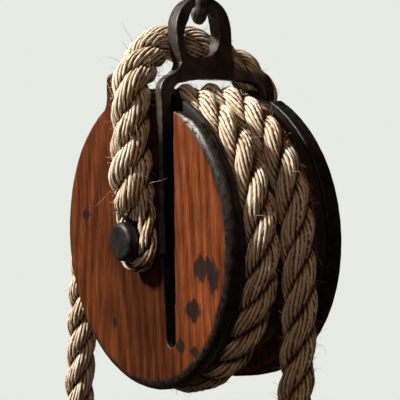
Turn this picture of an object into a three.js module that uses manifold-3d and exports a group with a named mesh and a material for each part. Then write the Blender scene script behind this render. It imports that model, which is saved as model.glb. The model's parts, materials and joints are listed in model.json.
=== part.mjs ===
// A single-sheave rope block: two round wooden cheeks with wooden liners, a wide wooden sheave on an
// iron axle pin, a forged iron strap with an eye, a chain link to hang it by, a rope strop over the top
// and a heavy rope that takes one and a half turns round the sheave.
//
// Units are millimetres, +Z is up. The shapes are written in the block's own frame: the axle pin lies
// along Y through the origin, and the front cheek, which carries the pin's head, faces -Y. The last
// group moves the whole block so that the origin is where the hanger link is held.

import * as THREE from 'three';
import * as BufferGeometryUtils from 'three/addons/utils/BufferGeometryUtils.js';
import Module from 'manifold-3d';

const wasm = await Module();
wasm.setup();

// ---------------------------------------------------------------- driving sizes

const GAP = 0.3; // between pieces that touch or are fixed to each other
const END_GAP = 1.2; // between one stretch of rope and the next
const SIDES = 56; // facets round a big disc

const ROPE_D = 22; // three-strand hauling rope
const STROP_D = 25; // strop rope, a little thicker where it is spliced
const PITCH_R = 92; // axle to the middle of the rope on the sheave

const CHEEK_R = 100;
const CHEEK_X = -6; // middle of the cheeks, measured from the axle
const CHEEK_Z = 0;
const FRONT_FACE = -46; // outer face of the front cheek
const FRONT_CHEEK_T = 8.2;
const FRONT_LINER_T = 4;
const BACK_FACE = 43.6;
const BACK_CHEEK_T = 12.3;
const BACK_LINER_T = 10;
const FRONT_LINER_Y = FRONT_FACE + FRONT_CHEEK_T + GAP; // outer face of the front liner
const FRONT_INNER = FRONT_LINER_Y + FRONT_LINER_T; // inner face of the front liner
const BACK_LINER_Y = BACK_FACE - BACK_CHEEK_T - GAP;
const BACK_INNER = BACK_LINER_Y - BACK_LINER_T;

const AXLE_R = 9;
const HEAD_R = 12.8;
const HEAD_T = 7;
const STROP_EYE_TUBE = 6.5; // half thickness, along the pin, of the strop's eye round it
const STROP_EYE_DEPTH = 5.4; // its half thickness away from the pin
const FRONT_HEAD_Y = FRONT_FACE - GAP - 2 * STROP_EYE_TUBE - GAP; // underside of the pin's head
const BACK_EYE_Y = BACK_FACE + GAP + 2 * STROP_EYE_TUBE; // back of the rear strop eye

const SLOT_TOP = [16, 36.5]; // left and right walls of the cheeks' slots at the top
const SLOT_FOOT = [22.3, 32.5];
const SLOT_TOP_Z = 94;
const SLOT_FOOT_Z = -68;

const EYE_X = 7; // the strap's eye stands over the axle
const LEG_X = 26; // its legs lie in the slots
const EYE_Y = -2.7;
const EYE_Z = 137.8;
const EYE_R = 22.7;
const HOLE_TOP_Z = 154.9;
const PLATE_T = 11;
const LEG_T = 7.5;
const LEG_FOOT_Z = -8;
const ARCH_Z = 105.2; // underside of the arch between the legs
const FRONT_LEG = [-50, -42]; // outer and inner edges of the legs along Y
const BACK_LEG = [42, 34];
const LUG_T = 3.6; // thickness of the lugs that carry the pin
const LUG_R = 15;

const LINK_BAR_R = 4.4;
const LINK_R = 15; // bend radius of the link's middle line
const LINK_STRAIGHT = 29.5;
const LINK_TURN = -27; // degrees that the link stands turned from square to the eye
const LINK_SAG = 4.1; // room over the link's bar for its bend
const LINK_LOW_Z = HOLE_TOP_Z - LINK_BAR_R - GAP - LINK_SAG; // middle of the lower bend
const HANG_Z = LINK_LOW_Z + 2 * LINK_R + LINK_STRAIGHT - LINK_BAR_R; // inside of its upper bend

const SHEAVE_FRONT = FRONT_INNER + 1.2;
const SHEAVE_BACK = BACK_INNER - 1.2;
const SHEAVE_R = PITCH_R - ROPE_D / 2 - GAP;
const LIP_R = 83;
const BUSH_R = 14;
const COAK_R = 28;
const COAK_T = 3;
const RIVET_R = 2.5;
const RIVET_CIRCLE = 20.5;

const FRONT_TURN_Y = -21.6; // the rope turn beside the front liner
const BACK_TURN_Y = 6.7; // the rope turn that the near fall comes from
const CROSS_FROM = 105; // degrees round the sheave where the rope crosses over
const CROSS_TO = 285;
const WRAP_END = 475;

const THIMBLE_SEAT_R = ROPE_D / 2 + 13; // thimble middle to the rope's middle

// ---------------------------------------------------------------- colours

const IRON = { color: 0x2b2725, roughness: 0.45, metalness: 0.85 };
const WOOD = { color: 0x7a4524, roughness: 0.5, metalness: 0 };
const DARK_WOOD = { color: 0x2a211c, roughness: 0.6, metalness: 0 };
const LIGNUM = { color: 0x4c3a24, roughness: 0.5, metalness: 0 };
const BRONZE = { color: 0x8a6a36, roughness: 0.4, metalness: 0.9 };
const ROPE = { color: 0xb89a70, roughness: 0.95, metalness: 0 };
const TWINE = { color: 0x8f7650, roughness: 0.95, metalness: 0 };

const block = new THREE.Group();

function addPiece(name, geometry, look) {
  const mesh = new THREE.Mesh(geometry, new THREE.MeshStandardMaterial(look));
  mesh.name = name;
  block.add(mesh);
}

// ---------------------------------------------------------------- solid helpers

function toSolid(geometry) {
  const bare = geometry.clone();
  bare.deleteAttribute('normal');
  bare.deleteAttribute('uv');
  const merged = BufferGeometryUtils.mergeVertices(bare, 1e-4);
  const mesh = new wasm.Mesh({
    numProp: 3,
    vertProperties: new Float32Array(merged.attributes.position.array),
    triVerts: new Uint32Array(merged.index.array),
  });
  return new wasm.Manifold(mesh);
}

function toGeometry(solid) {
  const mesh = solid.getMesh();
  const geometry = new THREE.BufferGeometry();
  geometry.setAttribute('position', new THREE.BufferAttribute(mesh.vertProperties, 3));
  geometry.setIndex(new THREE.BufferAttribute(mesh.triVerts, 1));
  return geometry;
}

function joined(...geometries) {
  const solids = geometries.map(toSolid);
  return toGeometry(solids.reduce((whole, piece) => whole.add(piece)));
}

function cut(geometry, ...tools) {
  const start = toSolid(geometry);
  return toGeometry(tools.map(toSolid).reduce((whole, tool) => whole.subtract(tool), start));
}

// A shape drawn in X and Z, made solid between two values of Y.
function slabAlongY(shape, y0, y1, curveSegments = 12) {
  const depth = y1 - y0;
  const geometry = new THREE.ExtrudeGeometry(shape, { depth, bevelEnabled: false, curveSegments });
  geometry.rotateX(Math.PI / 2);
  geometry.translate(0, y1, 0);
  return geometry;
}

// A shape drawn in Y and Z, made solid between two values of X.
function slabAlongX(shape, x0, x1, curveSegments = 12) {
  const geometry = new THREE.ExtrudeGeometry(shape, { depth: x1 - x0, bevelEnabled: false, curveSegments });
  const turn = new THREE.Matrix4().makeBasis(
    new THREE.Vector3(0, 1, 0),
    new THREE.Vector3(0, 0, 1),
    new THREE.Vector3(1, 0, 0),
  );
  geometry.applyMatrix4(turn);
  geometry.translate(x0, 0, 0);
  return geometry;
}

function box(x0, x1, y0, y1, z0, z1) {
  const geometry = new THREE.BoxGeometry(x1 - x0, y1 - y0, z1 - z0);
  geometry.translate((x0 + x1) / 2, (y0 + y1) / 2, (z0 + z1) / 2);
  return geometry;
}

// A turned solid about a line along Y; each point is [radius, y], in order of rising y.
function turned(points, segments = 32) {
  return new THREE.LatheGeometry(points.map(([r, y]) => new THREE.Vector2(r, y)), segments);
}

function rod(radius, y0, y1, segments = 32) {
  return turned([[0, y0], [radius, y0], [radius, y1], [0, y1]], segments);
}

function circleShape(radius, sides) {
  const shape = new THREE.Shape();
  for (let i = 0; i < sides; i += 1) {
    const angle = (2 * Math.PI * i) / sides;
    const point = [radius * Math.cos(angle), radius * Math.sin(angle)];
    if (i === 0) shape.moveTo(...point);
    else shape.lineTo(...point);
  }
  shape.closePath();
  return shape;
}

// A round bar or rope along a smooth line through the points.
function tube(points, radius, steps, sides = 12) {
  const path = new THREE.CatmullRomCurve3(points.map((p) => new THREE.Vector3(...p)), false, 'centripetal');
  return new THREE.ExtrudeGeometry(circleShape(radius, sides), { steps, extrudePath: path });
}

function smooth(value) {
  const t = Math.min(1, Math.max(0, value));
  return t * t * (3 - 2 * t);
}

// ---------------------------------------------------------------- cheeks and liners

// The disc of a cheek, with a rounded outer edge given by its width in from the rim and along Y.
function cheekDisc(faceY, innerY, edgeIn, edgeAlong) {
  const side = Math.sign(innerY - faceY);
  const steps = 4;
  const points = [[0, faceY]];
  for (let i = 0; i <= steps; i += 1) {
    const angle = (Math.PI / 2) * (i / steps);
    points.push([
      CHEEK_R - edgeIn * (1 - Math.sin(angle)),
      faceY + side * edgeAlong * (1 - Math.cos(angle)),
    ]);
  }
  points.push([CHEEK_R, innerY], [0, innerY]);
  if (side < 0) points.reverse();
  const geometry = turned(points, SIDES);
  geometry.translate(CHEEK_X, 0, CHEEK_Z);
  return geometry;
}

// The open slot that a strap leg lies in: narrower towards its round foot.
function slotTool(y0, y1) {
  const footR = (SLOT_FOOT[1] - SLOT_FOOT[0]) / 2;
  const footX = (SLOT_FOOT[0] + SLOT_FOOT[1]) / 2;
  const shape = new THREE.Shape();
  shape.moveTo(SLOT_TOP[0], CHEEK_R + 20);
  shape.lineTo(SLOT_TOP[0], SLOT_TOP_Z);
  shape.lineTo(SLOT_FOOT[0], SLOT_FOOT_Z + footR);
  shape.absarc(footX, SLOT_FOOT_Z + footR, footR, Math.PI, 2 * Math.PI, false);
  shape.lineTo(SLOT_TOP[1], SLOT_TOP_Z);
  shape.lineTo(SLOT_TOP[1], CHEEK_R + 20);
  shape.closePath();
  return slabAlongY(shape, y0, y1, 6);
}

// The horn that stands up from the front cheek beside the strop.
function horn() {
  const left = -44;
  const right = -15;
  const top = 112;
  const corner = 7;
  const root = 88;
  const shape = new THREE.Shape();
  shape.moveTo(left - 6, root - 3);
  shape.quadraticCurveTo(left, root + 1, left, root + 9);
  shape.lineTo(left, top - corner);
  shape.quadraticCurveTo(left, top, left + corner, top);
  shape.lineTo(right - corner, top);
  shape.quadraticCurveTo(right, top, right, top - corner);
  shape.lineTo(right, root - 20);
  shape.lineTo(left - 6, root - 20);
  shape.closePath();
  return slabAlongY(shape, FRONT_FACE, FRONT_FACE + FRONT_CHEEK_T, 5);
}

// The opening in a liner that lets the strap's lug in from the slot to the pin.
function lugPocket(y0, y1) {
  const reach = LUG_R + GAP;
  const half = 10 + GAP;
  const shape = new THREE.Shape();
  const start = Math.asin(half / reach);
  shape.moveTo(LEG_X + LEG_T / 2 + GAP, -half);
  shape.lineTo(LEG_X + LEG_T / 2 + GAP, half);
  shape.absarc(0, 0, reach, start, 2 * Math.PI - start, false);
  shape.closePath();
  return slabAlongY(shape, y0, y1, 16);
}

function frontCheek() {
  const disc = cheekDisc(FRONT_FACE, FRONT_FACE + FRONT_CHEEK_T, 5.8, 7.5);
  const hole = rod(AXLE_R + GAP, FRONT_FACE - 5, FRONT_INNER + 5);
  const worn = box(SLOT_TOP[1] - 1, SLOT_TOP[1] + 26, FRONT_FACE - 5, FRONT_INNER, 0, 12);
  worn.rotateY(0.36);
  worn.translate(0, 0, 97);
  return cut(joined(disc, horn()), slotTool(FRONT_FACE - 5, FRONT_INNER), hole, worn);
}

function backCheek() {
  const disc = cheekDisc(BACK_FACE, BACK_FACE - BACK_CHEEK_T, 2.5, 3);
  return cut(disc, slotTool(BACK_INNER, BACK_FACE + 5), rod(AXLE_R + GAP, BACK_INNER, BACK_FACE + 5));
}

function liner(y0, y1, radius) {
  const disc = rod(radius, y0, y1, SIDES);
  disc.translate(CHEEK_X, 0, CHEEK_Z);
  return cut(disc, lugPocket(y0 - 5, y1 + 5));
}

addPiece('front_cheek', frontCheek(), WOOD);
addPiece('front_liner', liner(FRONT_LINER_Y, FRONT_INNER, CHEEK_R - 1), DARK_WOOD);
addPiece('back_cheek', backCheek(), WOOD);
addPiece('back_liner', liner(BACK_INNER, BACK_LINER_Y, CHEEK_R - 1), DARK_WOOD);

// ---------------------------------------------------------------- forged strap

// The eye and the neck under it, as seen from the side: a ring that runs straight down into the
// neck at the back and curves in a little at the front.
function eyePlateShape() {
  const join = THREE.MathUtils.degToRad(188);
  const shape = new THREE.Shape();
  shape.moveTo(EYE_R + EYE_Y, ARCH_Z);
  shape.lineTo(EYE_R + EYE_Y, EYE_Z);
  shape.absarc(EYE_Y, EYE_Z, EYE_R, 0, join, false);
  shape.quadraticCurveTo(-24.6, 126, -22, 117);
  shape.lineTo(-22, 103.2);
  shape.quadraticCurveTo(-10, 104.8, 0, ARCH_Z);
  shape.closePath();
  shape.holes.push(new THREE.Path(new THREE.SplineCurve(EYE_HOLE).getPoints(32)));
  return shape;
}

// The eye's hole, round below and narrower where the link bears: across and up.
const EYE_HOLE = [
  [-3, 119.8],
  [-12, 120.4],
  [-17, 124.2],
  [-19.1, 131.5],
  [-17.6, 138.6],
  [-14.8, 144.6],
  [-12, 150.8],
  [-7.4, 154.1],
  [-2.7, HOLE_TOP_Z],
  [2.2, 154],
  [6.7, 150.8],
  [8.6, 143.5],
  [9.4, 135.5],
  [8.2, 127.5],
  [4, 121.8],
  [-3, 119.8],
].map(([across, up]) => new THREE.Vector2(across, up));

// The underside and top of each arm, at distances from the middle of the neck.
const FRONT_ARM = [
  [12, 104.8, 120],
  [18, 103.4, 119],
  [21, 103, 117.5],
  [22.5, 102.7, 115],
  [24.5, 102.4, 112.6],
  [27.5, 101.9, 111],
  [31, 101.2, 109.8],
  [35, 100, 108.8],
  [38, 98, 107.9],
  [41, 94.5, 107],
  [44, 90.5, 105.9],
  [47, 88, 103.8],
  [49, 87, 101],
  [50, 87, 98],
];
const BACK_ARM = [
  [12, 105.2, 120],
  [17, 105.2, 119.5],
  [20, 105, 117.6],
  [22, 104.6, 114.4],
  [24, 104.2, 112.6],
  [26.5, 103.5, 111.3],
  [29, 102.5, 110.4],
  [31.5, 101, 109.7],
  [34, 96, 108.9],
  [37, 90, 107.4],
  [39.5, 88, 104.8],
  [41.2, 87, 101.6],
  [42, 87, 98],
];

// One arm of the strap, from the middle of the neck to the outer edge of its leg. Each section is an
// upright rectangle; the arm bows sideways from over the axle to over the slot.
function strapArm(heights, direction) {
  const length = heights[heights.length - 1][0];
  const positions = [];
  for (const [y, under, top] of heights) {
    const bow = smooth((y - 19) / (length - 6 - 19));
    const middle = EYE_X + (LEG_X - EYE_X) * bow;
    const half = (PLATE_T + (LEG_T - PLATE_T) * bow) / 2;
    positions.push(middle - half, direction * y, under);
    positions.push(middle + half, direction * y, under);
    positions.push(middle + half, direction * y, top);
    positions.push(middle - half, direction * y, top);
  }
  const indices = [];
  for (let i = 0; i + 1 < heights.length; i += 1) {
    for (let k = 0; k < 4; k += 1) {
      const a = 4 * i + k;
      const b = 4 * i + ((k + 1) % 4);
      indices.push(a, b, b + 4, a, b + 4, a + 4);
    }
  }
  const last = 4 * (heights.length - 1);
  indices.push(0, 2, 1, 0, 3, 2, last, last + 1, last + 2, last, last + 2, last + 3);
  if (direction > 0) {
    for (let i = 0; i < indices.length; i += 3) {
      [indices[i], indices[i + 1]] = [indices[i + 1], indices[i]];
    }
  }
  const geometry = new THREE.BufferGeometry();
  geometry.setAttribute('position', new THREE.Float32BufferAttribute(positions, 3));
  geometry.setIndex(indices);
  return geometry;
}

// The leg in its slot, the block at its foot and the lug that reaches to the pin.
function strapLeg([outer, inner], lugFace) {
  const low = Math.min(outer, inner);
  const high = Math.max(outer, inner);
  const x0 = LEG_X - LEG_T / 2;
  const x1 = LEG_X + LEG_T / 2;
  const leg = box(x0, x1, low, high, LEG_FOOT_Z, 97);
  const lugLow = Math.min(lugFace, lugFace + LUG_T);
  const foot = box(x0, x1, Math.min(low, lugLow), Math.max(high, lugLow + LUG_T), LEG_FOOT_Z, 9);
  const bar = box(0, x1, lugLow, lugLow + LUG_T, LEG_FOOT_Z, 9);
  const boss = rod(LUG_R, lugLow, lugLow + LUG_T);
  return [leg, foot, bar, boss];
}

function strapBracket() {
  const plate = slabAlongX(eyePlateShape(), EYE_X - PLATE_T / 2, EYE_X + PLATE_T / 2, 14);
  const frontLug = FRONT_INNER - GAP - LUG_T;
  const backLug = BACK_INNER + GAP;
  const whole = joined(
    plate,
    strapArm(FRONT_ARM, -1),
    strapArm(BACK_ARM, 1),
    ...strapLeg(FRONT_LEG, frontLug),
    ...strapLeg(BACK_LEG, backLug),
  );
  return cut(whole, rod(AXLE_R + GAP, FRONT_FACE, BACK_FACE));
}

addPiece('strap_bracket', strapBracket(), IRON);

// ---------------------------------------------------------------- hanger link

// A closed round bar in an upright oval: two half circles joined by straight sides. It hangs turned
// a little from square to the strap's eye.
function hangerLink() {
  const low = LINK_LOW_Z + LINK_R;
  const bend = 10;
  const sides = 14;
  const turn = THREE.MathUtils.degToRad(LINK_TURN);
  const positions = [];
  for (let end = 0; end < 2; end += 1) {
    for (let i = 0; i <= bend; i += 1) {
      const angle = Math.PI * (1 - end) + (Math.PI * i) / bend;
      const middleZ = low + end * LINK_STRAIGHT;
      for (let k = 0; k < sides; k += 1) {
        const round = (2 * Math.PI * k) / sides;
        const reach = LINK_R + LINK_BAR_R * Math.cos(round);
        const along = reach * Math.cos(angle);
        const aside = LINK_BAR_R * Math.sin(round);
        positions.push(
          EYE_X + along * Math.cos(turn) - aside * Math.sin(turn),
          EYE_Y + along * Math.sin(turn) + aside * Math.cos(turn),
          middleZ + reach * Math.sin(angle),
        );
      }
    }
  }
  const stations = 2 * (bend + 1);
  const indices = [];
  for (let i = 0; i < stations; i += 1) {
    for (let k = 0; k < sides; k += 1) {
      const a = i * sides + k;
      const b = i * sides + ((k + 1) % sides);
      const c = ((i + 1) % stations) * sides + k;
      const d = ((i + 1) % stations) * sides + ((k + 1) % sides);
      indices.push(a, b, d, a, d, c);
    }
  }
  const geometry = new THREE.BufferGeometry();
  geometry.setAttribute('position', new THREE.Float32BufferAttribute(positions, 3));
  geometry.setIndex(indices);
  return geometry;
}

addPiece('hanger_link', hangerLink(), IRON);

// ---------------------------------------------------------------- axle pin and its fastening

const KEY_Y = [BACK_EYE_Y + GAP + 3 + GAP, BACK_EYE_Y + GAP + 3 + GAP + 4];
const PIN_END_Y = KEY_Y[1] + 5;

function axlePin() {
  const pin = turned([
    [0, FRONT_HEAD_Y - HEAD_T],
    [HEAD_R - 2.4, FRONT_HEAD_Y - HEAD_T],
    [HEAD_R - 0.6, FRONT_HEAD_Y - HEAD_T + 1.3],
    [HEAD_R, FRONT_HEAD_Y - HEAD_T + 3],
    [HEAD_R, FRONT_HEAD_Y],
    [AXLE_R, FRONT_HEAD_Y],
    [AXLE_R, PIN_END_Y - 1.5],
    [AXLE_R - 1.5, PIN_END_Y],
    [0, PIN_END_Y],
  ]);
  return cut(pin, box(-3 - GAP, 3 + GAP, KEY_Y[0] - GAP / 2, KEY_Y[1] + GAP, -20, 20));
}

// A flat forelock key, driven down through the pin behind the washer.
function forelockKey() {
  const shape = new THREE.Shape();
  shape.moveTo(-3, 15);
  shape.lineTo(-1.8, -17);
  shape.lineTo(1.8, -17);
  shape.lineTo(3, 15);
  shape.closePath();
  return slabAlongY(shape, KEY_Y[0], KEY_Y[1]);
}

function axleWasher() {
  const y0 = BACK_EYE_Y + GAP;
  return cut(rod(16.5, y0, y0 + 3), rod(AXLE_R + GAP, y0 - 5, y0 + 8));
}

addPiece('axle_pin', axlePin(), IRON);
addPiece('axle_washer', axleWasher(), IRON);
addPiece('forelock_key', forelockKey(), IRON);

// ---------------------------------------------------------------- sheave and its bronze coak

const RIVET_ANGLES = [90, 210, 330];

function rivetRod(degrees, radius, y0, y1) {
  const angle = THREE.MathUtils.degToRad(degrees);
  const geometry = rod(radius, y0, y1, 12);
  geometry.translate(RIVET_CIRCLE * Math.cos(angle), 0, RIVET_CIRCLE * Math.sin(angle));
  return geometry;
}

function rivetHoles() {
  return RIVET_ANGLES.map((degrees) => rivetRod(degrees, RIVET_R + GAP, SHEAVE_FRONT - 5, SHEAVE_BACK + 5));
}

function sheave() {
  const drum = turned([
    [0, SHEAVE_FRONT],
    [LIP_R, SHEAVE_FRONT],
    [LIP_R, SHEAVE_FRONT + 1],
    [SHEAVE_R, SHEAVE_FRONT + 3],
    [SHEAVE_R, SHEAVE_BACK - 3],
    [LIP_R, SHEAVE_BACK - 1],
    [LIP_R, SHEAVE_BACK],
    [0, SHEAVE_BACK],
  ], 72);
  return cut(
    drum,
    rod(BUSH_R + GAP, SHEAVE_FRONT - 5, SHEAVE_BACK + 5),
    rod(COAK_R + GAP, SHEAVE_FRONT - 5, SHEAVE_FRONT + COAK_T + GAP),
    rod(COAK_R + GAP, SHEAVE_BACK - COAK_T - GAP, SHEAVE_BACK + 5),
    ...rivetHoles(),
  );
}

function sheaveBush() {
  return cut(rod(BUSH_R, SHEAVE_FRONT, SHEAVE_BACK), rod(AXLE_R + GAP, SHEAVE_FRONT - 5, SHEAVE_BACK + 5));
}

function coakPlate(y0) {
  return cut(rod(COAK_R, y0, y0 + COAK_T), rod(BUSH_R + GAP, y0 - 5, y0 + 8), ...rivetHoles());
}

addPiece('sheave', sheave(), LIGNUM);
addPiece('sheave_bush', sheaveBush(), BRONZE);
addPiece('coak_plate_front', coakPlate(SHEAVE_FRONT), BRONZE);
addPiece('coak_plate_back', coakPlate(SHEAVE_BACK - COAK_T), BRONZE);
RIVET_ANGLES.forEach((degrees, i) => {
  addPiece(`coak_rivet_${i + 1}`, rivetRod(degrees, RIVET_R, SHEAVE_FRONT, SHEAVE_BACK), BRONZE);
});

// ---------------------------------------------------------------- strop over the top

// The strop's middle line, from the eye on the pin's head, up the front, behind the strap's eye and
// down the back to the eye on the pin's tail.
const STROP_ROUTE = [
  [0, -52.8, 16],
  [2.2, -55.2, 27],
  [4.8, -58.7, 40],
  [6, -59, 57],
  [7, -59, 77],
  [7.5, -58.9, 90],
  [6.3, -57.6, 100.5],
  [3.8, -53, 107.8],
  [-1, -43.4, 117],
  [-6.4, -35.4, 123.2],
  [-11, -28.4, 127.5],
  [-12.4, -20, 130.2],
  [-12.6, -6, 130.9],
  [-12.6, 8, 129.4],
  [-12.4, 21, 124.8],
  [-11.8, 32, 119.4],
  [-9.6, 43.2, 114.4],
  [-7, 50.6, 106.4],
  [-4.6, 55.2, 98],
  [-2.8, 57, 87],
  [-1, 57.4, 70],
  [0, 56.4, 50],
  [0, 53.6, 32],
  [0, 50.4, 16],
];

function stropEye(middleY) {
  const ringR = AXLE_R + GAP + STROP_EYE_DEPTH;
  const points = [];
  const sides = 10;
  for (let i = 0; i <= sides; i += 1) {
    const angle = -Math.PI / 2 + (2 * Math.PI * i) / sides;
    points.push([ringR + STROP_EYE_DEPTH * Math.cos(angle), middleY + STROP_EYE_TUBE * Math.sin(angle)]);
  }
  return turned(points, 24);
}

function strop() {
  const frontEye = FRONT_FACE - GAP - STROP_EYE_TUBE;
  const backEye = BACK_FACE + GAP + STROP_EYE_TUBE;
  const line = tube(STROP_ROUTE, STROP_D / 2, 46);
  const throat = cut(
    line,
    box(-30, 30, FRONT_HEAD_Y - 30, FRONT_HEAD_Y + GAP, -30, 22),
    box(-30, 30, FRONT_FACE - GAP, FRONT_FACE + 30, -30, 99),
    box(-30, 30, BACK_EYE_Y, BACK_EYE_Y + 30, -30, 22),
    box(-30, 30, BACK_FACE - 30, BACK_FACE + GAP, -30, 101),
    rod(AXLE_R + 2 * GAP, FRONT_HEAD_Y - 30, BACK_EYE_Y + 30),
  );
  return joined(throat, stropEye(frontEye), stropEye(backEye));
}

addPiece('strop_rope', strop(), ROPE);

// ---------------------------------------------------------------- hauling rope

// The rope on the sheave, from where the near fall meets it, over the top, round and over again.
function ropeWrap() {
  const points = [];
  const last = 64;
  for (let i = 0; i <= last; i += 1) {
    const degrees = (WRAP_END * i) / last;
    const angle = THREE.MathUtils.degToRad(degrees);
    const across = smooth((degrees - CROSS_FROM) / (CROSS_TO - CROSS_FROM));
    points.push([
      PITCH_R * Math.cos(angle),
      BACK_TURN_Y + (FRONT_TURN_Y - BACK_TURN_Y) * across,
      PITCH_R * Math.sin(angle),
    ]);
  }
  return tube(points, ROPE_D / 2, 76);
}

// The near fall comes down off the right side of the sheave.
const NEAR_ROUTE = [
  [92, 6.7, -1.2],
  [92.6, 6.7, -12],
  [93.3, 6.7, -24],
  [93.4, 6.7, -36],
  [92.8, 6.7, -48],
  [91.5, 6.7, -60],
  [89.8, 6.7, -73],
  [88.3, 6.7, -86],
  [87.2, 6.7, -99],
  [86.4, 6.7, -110],
  [86, 6.7, -118],
];
const NEAR_EYE = [75.5, 6.7, -189];

// The far fall is slack: it stands off the sheave on the left and hangs a little outwards.
const FAR_ROUTE = [
  [-40, -21.6, 82.9],
  [-54, -21.6, 75.8],
  [-70, -21.6, 65.6],
  [-86, -21.6, 52],
  [-99.5, -21.6, 36],
  [-110, -21.6, 17],
  [-117.6, -21.6, -3],
  [-122.5, -21.6, -23],
  [-125.8, -21.6, -43],
  [-128.6, -21.6, -63],
  [-132, -21.6, -85],
  [-135.2, -21.6, -107],
  [-138, -21.6, -128],
  [-139.6, -21.6, -142],
  [-140.2, -21.6, -151],
];
const FAR_EYE = [-131.5, -21.6, -222];

const SEIZING_HALF_H = 14;

// The stretch of rope that goes round a thimble, from one side of the seizing to the other.
function ropeEye([x, y, z], top) {
  const legX = ROPE_D / 2 + GAP;
  const points = [[x - legX, y, top], [x - legX, y, top - 5]];
  const from = THREE.MathUtils.degToRad(160);
  const to = THREE.MathUtils.degToRad(380);
  const steps = 12;
  for (let i = 0; i <= steps; i += 1) {
    const angle = from + ((to - from) * i) / steps;
    points.push([x + THIMBLE_SEAT_R * Math.cos(angle), y, z + THIMBLE_SEAT_R * Math.sin(angle)]);
  }
  points.push([x + legX, y, top - 5], [x + legX, y, top]);
  return tube(points, ROPE_D / 2, 36);
}

// A round iron thimble with a deep groove for the rope.
function thimble([x, y, z]) {
  const inner = 9;
  const flangeR = 20.5;
  const halfWidth = ROPE_D / 2 + 1.6;
  const grooveR = ROPE_D / 2 + GAP;
  const open = Math.acos((THIMBLE_SEAT_R - flangeR) / grooveR);
  const points = [[inner, -halfWidth], [flangeR, -halfWidth]];
  const steps = 6;
  for (let i = 0; i <= steps; i += 1) {
    const angle = -open + (2 * open * i) / steps;
    points.push([THIMBLE_SEAT_R - grooveR * Math.cos(angle), grooveR * Math.sin(angle)]);
  }
  points.push([flangeR, halfWidth], [inner, halfWidth], [inner, -halfWidth]);
  const geometry = turned(points, 28);
  geometry.translate(x, y, z);
  return geometry;
}

// The bound throat where the rope's tail is seized to its standing part.
function seizing(x, y, top) {
  const reach = ROPE_D / 2 + GAP;
  const radius = ROPE_D / 2 + 2;
  const shape = new THREE.Shape();
  shape.moveTo(-reach, -radius);
  shape.absarc(reach, 0, radius, -Math.PI / 2, Math.PI / 2, false);
  shape.absarc(-reach, 0, radius, Math.PI / 2, 1.5 * Math.PI, false);
  const geometry = new THREE.ExtrudeGeometry(shape, {
    depth: 2 * SEIZING_HALF_H,
    bevelEnabled: false,
    curveSegments: 8,
  });
  geometry.translate(x, y, top - 2 * SEIZING_HALF_H);
  return geometry;
}

function addFall(name, route, eye) {
  const end = route[route.length - 1];
  const seizingTop = end[2] - END_GAP;
  addPiece(`${name}_fall`, tube(route, ROPE_D / 2, 2 * route.length), ROPE);
  addPiece(`${name}_seizing`, seizing(eye[0], eye[1], seizingTop), TWINE);
  addPiece(`${name}_eye`, ropeEye(eye, seizingTop - 2 * SEIZING_HALF_H - END_GAP), ROPE);
  addPiece(`${name}_thimble`, thimble(eye), IRON);
}

addPiece('rope_wrap', ropeWrap(), ROPE);
addFall('near', NEAR_ROUTE, NEAR_EYE);
addFall('far', FAR_ROUTE, FAR_EYE);

// ---------------------------------------------------------------- the whole part

const part = new THREE.Group();
block.position.set(-EYE_X, -EYE_Y, -HANG_Z);
part.add(block);
part.updateMatrixWorld(true);

export default part;
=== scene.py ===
# A wooden rope block on a forged strap and chain link, with its rope strop and heavy laid rope.
# Everything is in metres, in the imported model's frame. Places on the block are written from the
# middle of its axle pin, which lies along Y, and moved to the frame with world().

import json
import math

import bpy
import numpy as np
from mathutils import Matrix, Vector, noise

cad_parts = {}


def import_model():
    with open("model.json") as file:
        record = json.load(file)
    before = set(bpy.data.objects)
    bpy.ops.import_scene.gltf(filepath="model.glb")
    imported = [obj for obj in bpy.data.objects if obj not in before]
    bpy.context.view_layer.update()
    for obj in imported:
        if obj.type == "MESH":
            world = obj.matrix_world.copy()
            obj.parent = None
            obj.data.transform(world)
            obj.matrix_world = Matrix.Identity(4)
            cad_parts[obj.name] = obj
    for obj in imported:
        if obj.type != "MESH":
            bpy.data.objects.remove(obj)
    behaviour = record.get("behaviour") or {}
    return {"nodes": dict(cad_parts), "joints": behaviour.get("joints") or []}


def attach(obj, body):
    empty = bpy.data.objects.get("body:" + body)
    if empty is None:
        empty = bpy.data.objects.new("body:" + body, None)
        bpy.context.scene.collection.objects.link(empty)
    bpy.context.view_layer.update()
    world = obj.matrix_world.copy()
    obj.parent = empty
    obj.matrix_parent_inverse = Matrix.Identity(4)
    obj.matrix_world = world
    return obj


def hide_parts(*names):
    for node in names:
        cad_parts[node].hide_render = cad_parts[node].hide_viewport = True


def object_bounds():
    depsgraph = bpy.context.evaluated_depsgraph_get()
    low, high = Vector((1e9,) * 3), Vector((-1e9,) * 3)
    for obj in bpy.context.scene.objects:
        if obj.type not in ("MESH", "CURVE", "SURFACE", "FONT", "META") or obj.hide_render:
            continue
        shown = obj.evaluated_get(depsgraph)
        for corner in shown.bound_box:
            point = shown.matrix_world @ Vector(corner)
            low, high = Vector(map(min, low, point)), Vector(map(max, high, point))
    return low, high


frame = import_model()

cad_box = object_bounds()
joints = {joint["name"]: joint for joint in frame["joints"]}
AXLE = np.array(joints["sheave_spin"]["pos_m"])
LINK_HINGE = np.array(joints["link_swing"]["pos_m"])

# ------------------------------------------------------------------ driving sizes

ROPE_R = 0.011  # hauling rope's radius
ROPE_LAY = 0.07055  # length in which a strand goes once round the rope
ROPE_YARNS = 12  # yarns round one strand
ROPE_PHASE = 5.2  # the first strand's angle where the near fall meets the sheave
ROPE_STEP = 0.0013  # length of rope from one ring of points to the next
STRAND_SHARE = 0.487  # a strand's radius over its rope's
YARN_POINTS = 6  # points across one yarn
YARN_LEAN = 0.15  # radians that the yarns lean from the rope's own line

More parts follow.
